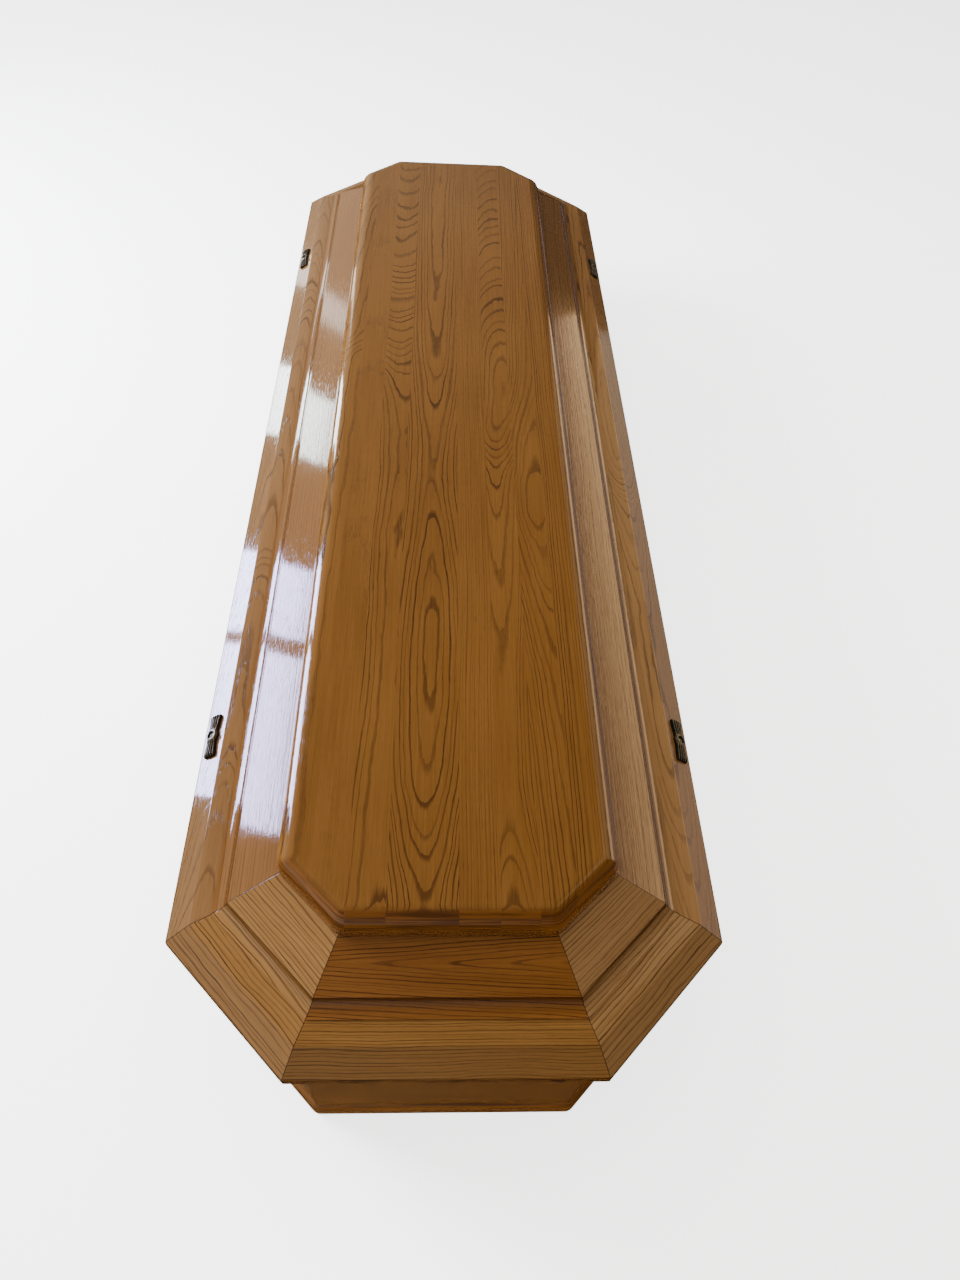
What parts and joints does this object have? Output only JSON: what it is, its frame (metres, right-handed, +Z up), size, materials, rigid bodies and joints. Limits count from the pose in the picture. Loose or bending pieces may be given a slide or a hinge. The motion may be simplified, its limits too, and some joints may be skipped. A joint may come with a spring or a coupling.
{
  "type": "wooden coffin",
  "caption": "Lacquered oak coffin with cut corners, mitred two-tier lid, flat top panel and cast screw plates on the long sides; hollow and empty, the lid lifts off.",
  "frame": {"origin": "middle of the base board's underside, on the surface that the coffin stands on", "axes": "+Y from the foot end to the head end, +Z up, +X to the right when seen from the foot end"},
  "size_m": [0.63, 2, 0.3606],
  "materials": {
    "base_oak": "gloss lacquer",
    "wall_oak": "gloss lacquer",
    "moulding_oak": "gloss lacquer",
    "slope_oak": "gloss lacquer",
    "panel_oak": "gloss lacquer",
    "cast_bronze": "antique casting",
    "screw_metal": "antique, slotted"
  },
  "bodies": {
    "root": {"base_board": "base_oak", "wall_right": "wall_oak", "wall_head_right": "wall_oak", "wall_head": "wall_oak", "wall_head_left": "wall_oak", "wall_left": "wall_oak", "wall_foot_left": "wall_oak", "wall_foot": "wall_oak", "wall_foot_right": "wall_oak", "lid_moulding_right": "moulding_oak", "lid_moulding_head_right": "moulding_oak", "lid_moulding_head": "moulding_oak", "lid_moulding_head_left": "moulding_oak", "lid_moulding_left": "moulding_oak", "lid_moulding_foot_left": "moulding_oak", "lid_moulding_foot": "moulding_oak", "lid_moulding_foot_right": "moulding_oak", "lid_slope_right": "slope_oak", "lid_slope_head_right": "slope_oak", "lid_slope_head": "slope_oak", "lid_slope_head_left": "slope_oak", "lid_slope_left": "slope_oak", "lid_slope_foot_left": "slope_oak", "lid_slope_foot": "slope_oak", "lid_slope_foot_right": "slope_oak", "lid_top_panel": "panel_oak", "screw_plate_foot_left": "cast_bronze", "screw_plate_foot_right": "cast_bronze", "screw_plate_head_left": "cast_bronze", "screw_plate_head_right": "cast_bronze", "lid_screw_foot_left": "screw_metal", "lid_screw_foot_right": "screw_metal", "lid_screw_head_left": "screw_metal", "lid_screw_head_right": "screw_metal"}
  },
  "joints": []
}
